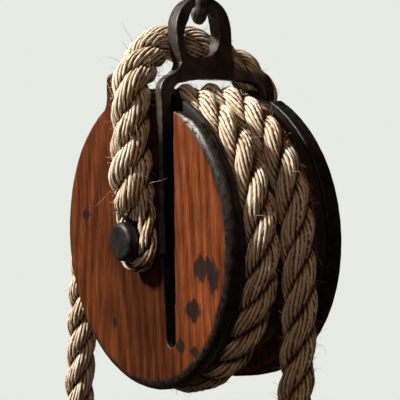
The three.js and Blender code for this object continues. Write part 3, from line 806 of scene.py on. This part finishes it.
class Look:
    """A node material under construction."""

    def __init__(self, name):
        self.material = bpy.data.materials.new(name)
        self.material.use_nodes = True
        self.tree = self.material.node_tree
        self.shader = self.tree.nodes["Principled BSDF"]
        self.place = self.new("ShaderNodeTexCoord").outputs["Object"]

    def new(self, kind, **settings):
        node = self.tree.nodes.new(kind)
        for key, value in settings.items():
            setattr(node, key, value)
        return node

    def set(self, socket, value):
        if isinstance(value, bpy.types.NodeSocket):
            self.tree.links.new(value, socket)
        else:
            socket.default_value = value

    def give(self, name, value):
        self.set(self.shader.inputs[name], value)

    def attribute(self, name, output="Fac"):
        return self.new("ShaderNodeAttribute", attribute_name=name).outputs[output]

    def stretched(self, vector, scale, location=(0, 0, 0)):
        node = self.new("ShaderNodeMapping")
        self.set(node.inputs["Vector"], vector)
        node.inputs["Scale"].default_value = scale
        node.inputs["Location"].default_value = location
        return node.outputs["Vector"]

    def noise(self, vector, scale=1.0, detail=4.0, rough=0.55):
        node = self.new("ShaderNodeTexNoise")
        self.set(node.inputs["Vector"], vector)
        node.inputs["Scale"].default_value = scale
        node.inputs["Detail"].default_value = detail
        node.inputs["Roughness"].default_value = rough
        return node.outputs["Fac"]

    def rings(self, vector, scale, distortion):
        node = self.new("ShaderNodeTexWave", wave_type="RINGS", rings_direction="Y")
        self.set(node.inputs["Vector"], vector)
        node.inputs["Scale"].default_value = scale
        node.inputs["Distortion"].default_value = distortion
        node.inputs["Detail"].default_value = 3
        node.inputs["Detail Scale"].default_value = 1.2
        return node.outputs["Fac"]

    def ramp(self, factor, stops):
        node = self.new("ShaderNodeValToRGB")
        self.set(node.inputs["Fac"], factor)
        elements = node.color_ramp.elements
        while len(elements) < len(stops):
            elements.new(0.5)
        for element, (place, color) in zip(elements, stops):
            element.position = place
            element.color = (*color, 1)
        return node.outputs["Color"]

    def range(self, value, low, high, to_low=0.0, to_high=1.0):
        node = self.new("ShaderNodeMapRange")
        self.set(node.inputs["Value"], value)
        limits = {"From Min": low, "From Max": high, "To Min": to_low, "To Max": to_high}
        for key, number in limits.items():
            node.inputs[key].default_value = number
        return node.outputs["Result"]

    def math(self, operation, a, b):
        node = self.new("ShaderNodeMath", operation=operation)
        self.set(node.inputs[0], a)
        self.set(node.inputs[1], b)
        return node.outputs["Value"]

    def weighted(self, *parts):
        """The sum of each value times its weight."""
        terms = [self.math("MULTIPLY", value, weight) for value, weight in parts]
        total = terms[0]
        for term in terms[1:]:
            total = self.math("ADD", total, term)
        return total

    def mix(self, factor, a, b, blend="MIX"):
        node = self.new("ShaderNodeMix", data_type="RGBA", blend_type=blend)
        self.set(node.inputs[0], factor)
        for socket, value in ((node.inputs[6], a), (node.inputs[7], b)):
            self.set(socket, (*value, 1) if isinstance(value, tuple) else value)
        return node.outputs[2]

    def gray(self, value):
        node = self.new("ShaderNodeCombineColor")
        for key in ("Red", "Green", "Blue"):
            self.set(node.inputs[key], value)
        return node.outputs["Color"]

    def bump(self, height, distance, strength):
        node = self.new("ShaderNodeBump")
        self.set(node.inputs["Height"], height)
        node.inputs["Distance"].default_value = distance
        node.inputs["Strength"].default_value = strength
        return node.outputs["Normal"]


def rope_look():
    """Straw-coloured laid fibre: fine fibres in line with the yarns, pale and brown flecks, and
    painted
    shade: dark broken lines where yarns meet, and a dark inner side where strands meet."""
    look = Look("manila_rope")
    fibre = look.attribute("fibre", "Vector")
    fibres = look.noise(look.stretched(fibre, (150, 3200, 100)), 1, 3, 0.6)
    flecks = look.noise(look.stretched(fibre, (70, 700, 100)), 1, 4, 0.6)
    broad = look.noise(look.place, 38, 3)
    tone = look.attribute("tone")
    mixed = look.weighted((fibres, 0.35), (flecks, 0.50), (tone, 0.12), (broad, 0.10))
    color = look.ramp(mixed, [
        (0.38, (0.33, 0.20, 0.105)),
        (0.46, (0.60, 0.45, 0.29)),
        (0.54, (0.80, 0.69, 0.53)),
        (0.66, (0.94, 0.88, 0.76)),
    ])
    # Painted shade: broken dark lines in the grooves between yarns.
    broken = look.noise(look.stretched(fibre, (420, 0, 4000)), 1, 2, 0.5)
    dashes = look.range(broken, 0.42, 0.56, 0.18, 3.2)
    painted_gap_shade = look.math("MULTIPLY", look.attribute("groove"), dashes)
    painted_strand_shade = look.math("ADD", look.attribute("painted_strand_shade"), painted_gap_shade)
    # Painted shade, darkest on the strands' inner sides and in the yarns' grooves.
    shade = look.ramp(painted_strand_shade, [
        (0.08, (1.0, 1.0, 1.0)),
        (0.38, (0.50, 0.36, 0.26)),
        (0.85, (0.035, 0.018, 0.010)),
    ])
    color = look.mix(1.0, color, shade, "MULTIPLY")
    look.give("Base Color", color)
    look.give("Roughness", 0.78)
    look.give("Specular IOR Level", 0.25)
    look.give("Normal", look.bump(fibres, 0.0005, 0.9))
    return look.material


def hair_look():
    """Single loose fibres, from brown to straw."""
    look = Look("loose_fibre")
    patches = look.noise(look.place, 90, 2)
    color = look.ramp(patches, [(0.35, (0.42, 0.28, 0.16)), (0.65, (0.85, 0.74, 0.56))])
    look.give("Base Color", color)
    look.give("Roughness", 0.6)
    return look.material


def twine_look():
    """Dark brown tarred twine."""
    look = Look("tarred_twine")
    grain = look.noise(look.stretched(look.place, (900, 900, 2200)), 1, 4)
    color = look.ramp(grain, [(0.35, (0.06, 0.035, 0.018)), (0.65, (0.26, 0.17, 0.09))])
    look.give("Base Color", color)
    look.give("Roughness", 0.8)
    look.give("Normal", look.bump(grain, 0.0004, 0.8))
    return look.material


def wood_look():
    """Red-brown varnished wood: upright grain, pores, long arched rings, dark rims and marks, painted
    shade in the slot, and grey on the top edges that is wear and painted highlight."""
    look = Look("varnished_wood")
    streaks = look.noise(look.stretched(look.place, (640, 640, 30)), 1, 6, 0.66)
    pores = look.noise(look.stretched(look.place, (1150, 1150, 60)), 1, 3, 0.6)
    broad = look.noise(look.stretched(look.place, (55, 55, 24)), 1, 5, 0.6)
    arches = look.rings(look.stretched(look.place, (1, 1, 0.17), (0.050, 0, 0.062)), 34, 3.5)
    mixed = look.weighted((streaks, 0.58), (broad, 0.30), (arches, 0.12))
    color = look.ramp(mixed, [
        (0.36, (0.024, 0.0060, 0.0022)),
        (0.46, (0.048, 0.0118, 0.0033)),
        (0.54, (0.073, 0.0180, 0.0048)),
        (0.66, (0.116, 0.0320, 0.0086)),
    ])
    brighter = look.range(look.attribute("lighter"), 0.0, 1.0, 0.95, 2.55)
    color = look.mix(1.0, color, look.gray(brighter), "MULTIPLY")
    pore_mask = look.range(pores, 0.36, 0.46, 0.35, 1.0)
    pore_tint = look.ramp(pore_mask, [(0.0, (0.20, 0.14, 0.14)), (1.0, (1, 1, 1))])
    color = look.mix(1.0, color, pore_tint, "MULTIPLY")
    ragged = look.noise(look.stretched(look.place, (240, 240, 120)), 1, 6, 0.72)
    stain = look.range(look.math("ADD", look.attribute("marks"), ragged), 1.0, 1.16, 0.0, 0.92)
    color = look.mix(stain, color, (0.011, 0.009, 0.0085))
    soiled = look.noise(look.place, 260, 5)
    rim = look.ramp(soiled, [(0.38, (0.006, 0.0042, 0.0034)), (0.7, (0.034, 0.026, 0.022))])
    # The rim's near-black, which also paints shade on the slot's walls.
    color = look.mix(look.attribute("dark"), color, rim)
    # Grey on the top edges: wear and painted highlight.
    patchy = look.range(look.noise(look.place, 330, 4), 0.38, 0.62)
    wear_and_highlight = look.math("MULTIPLY", look.attribute("wear_and_highlight"), patchy)
    color = look.mix(wear_and_highlight, color, (0.36, 0.33, 0.31))
    look.give("Base Color", color)
    look.give("Roughness", look.range(streaks, 0.3, 0.7, 0.30, 0.50))
    look.give("Specular IOR Level", 0.22)
    look.give("Coat Weight", 0.04)
    look.give("Coat Roughness", 0.35)
    look.give("Normal", look.bump(look.weighted((streaks, 0.6), (pores, 0.6)), 0.0006, 0.55))
    return look.material


def dark_wood_look():
    """Near-black weathered wood with fine lines round the rim, painted darker still where an attribute
    says so, and brown where it faces the sheave, which "inner" says."""
    look = Look("dark_wood")
    lines = look.noise(look.stretched(look.place, (40, 1800, 40)), 1, 4, 0.6)
    spots = look.noise(look.place, 300, 4)
    dark = look.ramp(lines, [(0.35, (0.010, 0.0075, 0.0065)), (0.65, (0.040, 0.0310, 0.0260))])
    # Painted near-black over the front lining's outward face.
    dark = look.mix(look.math("MULTIPLY", look.attribute("blackened"), 0.93), dark, NEAR_BLACK)
    streaks = look.noise(look.stretched(look.place, (230, 230, 8)), 1, 6, 0.6)
    brown = look.ramp(streaks, [(0.38, (0.060, 0.018, 0.007)), (0.62, (0.27, 0.095, 0.028))])
    look.give("Base Color", look.mix(look.attribute("inner"), dark, brown))
    look.give("Roughness", look.range(spots, 0.3, 0.7, 0.62, 0.82))
    look.give("Specular IOR Level", 0.3)
    look.give("Normal", look.bump(lines, 0.0006, 0.6))
    return look.material


def sheave_look():
    """Dense dark brown wood."""
    look = Look("lignum_vitae")
    streaks = look.noise(look.stretched(look.place, (160, 30, 160)), 1, 5)
    color = look.ramp(streaks, [(0.35, (0.045, 0.024, 0.011)), (0.65, (0.16, 0.085, 0.036))])
    look.give("Base Color", color)
    look.give("Roughness", 0.45)
    look.give("Normal", look.bump(streaks, 0.0005, 0.4))
    return look.material


def iron_look(name, base, shine):
    """Black forge scale, with pits, a soft sheen and bare grey metal along its edges. Where an
    attribute says so it is painted dull and near-black: on the strap, painted shade deep in the slot."""
    look = Look(name)
    scale = look.noise(look.place, 140, 6, 0.6)
    pits = look.noise(look.place, 900, 3, 0.5)
    color = look.ramp(scale, [
        (0.35, (base, 0.74 * base, 0.66 * base)),
        (0.7, (2.6 * base, 2.0 * base, 1.8 * base)),
    ])
    bare = look.math("MULTIPLY", look.attribute("edge"), look.range(scale, 0.35, 0.6, 0.35, 1.0))
    color = look.mix(look.range(bare, 0.25, 0.9), color, (shine, 0.95 * shine, 0.92 * shine))
    # Painted shade: near-black and dull where the strap lies deep in the slot.
    blackened = look.attribute("blackened")
    color = look.mix(look.math("MULTIPLY", blackened, 0.93), color, NEAR_BLACK)
    look.give("Specular IOR Level", look.range(blackened, 0, 1, 0.5, 0.04))
    look.give("Base Color", color)
    look.give("Metallic", look.range(bare, 0.2, 0.9, 0.35, 0.8))
    look.give("Roughness", look.range(scale, 0.3, 0.7, 0.42, 0.60))
    look.give("Normal", look.bump(look.weighted((scale, 0.8), (pits, 0.35)), 0.0007, 0.5))
    return look.material


def bronze_look():
    """Turned bronze with fine tool lines."""
    look = Look("bronze")
    turned = look.noise(look.stretched(look.place, (200, 900, 200)), 1, 4)
    color = look.ramp(turned, [(0.35, (0.16, 0.095, 0.035)), (0.65, (0.42, 0.28, 0.12))])
    look.give("Base Color", color)
    look.give("Metallic", 1.0)
    look.give("Roughness", look.range(turned, 0.3, 0.7, 0.3, 0.5))
    look.give("Normal", look.bump(turned, 0.0003, 0.4))
    return look.material


def floor_look(color):
    """A matt, nearly even colour."""
    look = Look("pale_floor")
    tint = look.noise(look.place, 6, 2)
    darker = tuple(0.97 * part for part in color)
    look.give("Base Color", look.ramp(tint, [(0.3, darker), (0.7, color)]))
    look.give("Roughness", 0.9)
    return look.material


# ------------------------------------------------------------------ the pieces

def add_ropes():
    rope = rope_look()
    twine = twine_look()
    pieces = hauling_rope(rope)
    finish_piece(pieces["sheave_rope"], "block", "manila_rope", "rope_wrap")
    declare_fall("near", pieces, NEAR_ROUTE, NEAR_EYE, twine)
    declare_fall("far", pieces, FAR_ROUTE, FAR_EYE, twine)
    finish_piece(strop_rope(rope), "block", "manila_rope", "strop_rope")
    front_eye = strop_eye("strop_eye_front", EYE_FRONT_Y, EYE_FRONT_Y - EYE_LEAN, rope)
    back_eye = strop_eye("strop_eye_back", EYE_BACK_Y, EYE_BACK_Y + EYE_LEAN, rope)
    finish_piece(front_eye, "block", "manila_rope")
    finish_piece(back_eye, "block", "manila_rope")
    add_fibres(pieces, hair_look())


def declare_fall(side, pieces, route, eye, twine):
    """A fall's rope, with its seizing and its iron thimble."""
    rope = pieces[f"{side}_rope"]
    binding = seizing(f"{side}_seizing_twine", route[-1][2] - 0.0012, eye, twine)
    finish_piece(binding, "block", "tarred_twine", f"{side}_seizing")
    ring = refined(f"{side}_thimble", f"{side}_thimble_iron", 0.0006, 3)
    add_values(ring.data, "edge", edge_amount(ring, 2))
    ring.data.materials.append(bpy.data.materials["forged_iron"])
    finish_piece(ring, "block", "forged_iron", f"{side}_thimble")
    finish_piece(rope, "block", "manila_rope", f"{side}_fall", f"{side}_eye")


def add_iron():
    iron = iron_look("forged_iron", 0.030, 0.16)
    pin_iron = iron_look("pin_iron", 0.008, 0.10)
    # Each node's new piece: its name, its voxel, rounds of smoothing, and its dents' depth and size.
    sizes = {
        "strap_bracket": ("strap", 0.00075, 4, 0.00028, 0.012),
        "hanger_link": ("link", 0.0006, 4, 0.00022, 0.009),
        "axle_pin": ("pin", 0.0006, 3, 0.00012, 0.006),
        "axle_washer": ("washer", 0.0005, 3, 0.00010, 0.006),
        "forelock_key": ("key", 0.0004, 3, 0.00010, 0.005),
    }
    for node, (name, voxel, rounds, dents, size) in sizes.items():
        piece = refined(node, name, voxel, rounds)
        add_values(piece.data, "edge", edge_amount(piece, 3))
        if node == "strap_bracket":
            # Painted shade: the strap's part deep in the slot is painted near-black and dull.
            height = vertex_places(piece)[:, 2] - AXLE[2]
            unshaded = step(height, STRAP_SHADE_LOW_Z, STRAP_SHADE_HIGH_Z)
            add_values(piece.data, "blackened", 1 - unshaded)
        roughen(piece, dents, size)
        piece.data.materials.append(pin_iron if node == "axle_pin" else iron)
        finish_piece(piece, "hanger" if node == "hanger_link" else "block", "forged_iron", node)


def add_wood():
    wood = wood_look()
    for node, name, outer_y, front in (
        ("front_cheek", "front_shell", FRONT_FACE_Y, True),
        ("back_cheek", "back_shell", BACK_FACE_Y, False),
    ):
        piece = refined(node, name, 0.0009, 4)
        paint_cheek(piece, outer_y, front)
        roughen(piece, 0.00022, 0.020, (1, 1, 0.35))
        piece.data.materials.append(wood)
        finish_piece(piece, "block", "varnished_wood", node)
    dark = dark_wood_look()
    for node, name, inward in (("front_liner", "front_lining", 1), ("back_liner", "back_lining", -1)):
        piece = refined(node, name, 0.0011, 4)
        facing = step(inward * vertex_normals(piece)[:, 1], 0.5, 0.8)
        places = vertex_places(piece)
        radius = np.hypot(places[:, 0] - AXLE[0] - CHEEK_MIDDLE_X, places[:, 2] - AXLE[2])
        places[:, 1] -= inward * facing * LINER_CHAMFER * np.maximum(0, radius - RIM_R)
        move_vertices(piece, places)
        add_values(piece.data, "inner", facing)
        if node == "front_liner":
            # The front lining's outward face is painted near-black.
            add_values(piece.data, "blackened", step(-vertex_normals(piece)[:, 1], 0.4, 0.8))
        roughen(piece, 0.00018, 0.012)
        piece.data.materials.append(dark)
        finish_piece(piece, "block", "dark_wood", node)
    wheel = refined("sheave", "sheave_wheel", 0.0013, 4)
    wheel.data.materials.append(sheave_look())
    finish_piece(wheel, "sheave", "lignum_vitae", "sheave")


def add_bronze():
    bronze = bronze_look()
    for node, piece in frame["nodes"].items():
        if node.startswith("coak") or node == "sheave_bush":
            piece.data.materials.clear()
            piece.data.materials.append(bronze)


# ------------------------------------------------------------------ stage and light

def add_stage():
    """A plain pale round floor, well below the block."""
    floor_z = float(cad_box[0][2]) - FLOOR_DROP
    corners = 48
    angles = [2 * math.pi * i / corners for i in range(corners)]
    points = [(FLOOR_R * math.cos(angle), FLOOR_R * math.sin(angle), floor_z) for angle in angles]
    floor = add_mesh("floor", points, [list(range(corners))], floor_look(FLOOR_COLOR))
    floor.visible_diffuse = False  # the block isn't lit from below
    floor.visible_glossy = False


def add_spot(name, direction, distance, size, power, color):
    """A soft round lamp of the given size, pointed at the axle from the given direction."""
    data = bpy.data.lights.new(name, "SPOT")
    data.shadow_soft_size = size / 2
    data.spot_size = math.radians(80)
    data.spot_blend = 0.5
    data.energy = power
    data.color = color
    light = bpy.data.objects.new(name, data)
    bpy.context.scene.collection.objects.link(light)
    way = Vector(direction).normalized()
    light.location = Vector(AXLE) + distance * way
    light.rotation_euler = way.to_track_quat("Z", "Y").to_euler()


def add_world():
    """An off-white backdrop to look at, and a dim warm one to light the block with."""
    world_data = bpy.data.worlds.new("backdrop")
    bpy.context.scene.world = world_data
    world_data.use_nodes = True
    tree = world_data.node_tree
    tree.nodes.clear()
    seen = tree.nodes.new("ShaderNodeBackground")
    seen.inputs["Color"].default_value = BACKDROP_COLOR
    lit = tree.nodes.new("ShaderNodeBackground")
    lit.inputs["Color"].default_value = ROOM_LIGHT_COLOR
    lit.inputs["Strength"].default_value = ROOM_LIGHT_STRENGTH
    path = tree.nodes.new("ShaderNodeLightPath")
    mix = tree.nodes.new("ShaderNodeMixShader")
    out = tree.nodes.new("ShaderNodeOutputWorld")
    tree.links.new(path.outputs["Is Camera Ray"], mix.inputs[0])
    tree.links.new(lit.outputs[0], mix.inputs[1])
    tree.links.new(seen.outputs[0], mix.inputs[2])
    tree.links.new(mix.outputs[0], out.inputs["Surface"])
    bpy.context.scene.view_settings.view_transform = "Standard"


add_camera()
add_iron()
add_ropes()
add_wood()
add_bronze()
add_stage()
add_spot("key", (-0.29, -0.66, 0.64), 1.6, 0.20, 228, (1.0, 0.97, 0.92))
add_spot("fill", (0.66, -0.62, 0.56), 1.9, 0.35, 20, (1.0, 0.70, 0.50))
add_spot("rear", (-0.80, 0.60, 0.16), 1.8, 0.8, 110, (1.0, 0.96, 0.92))
add_world()
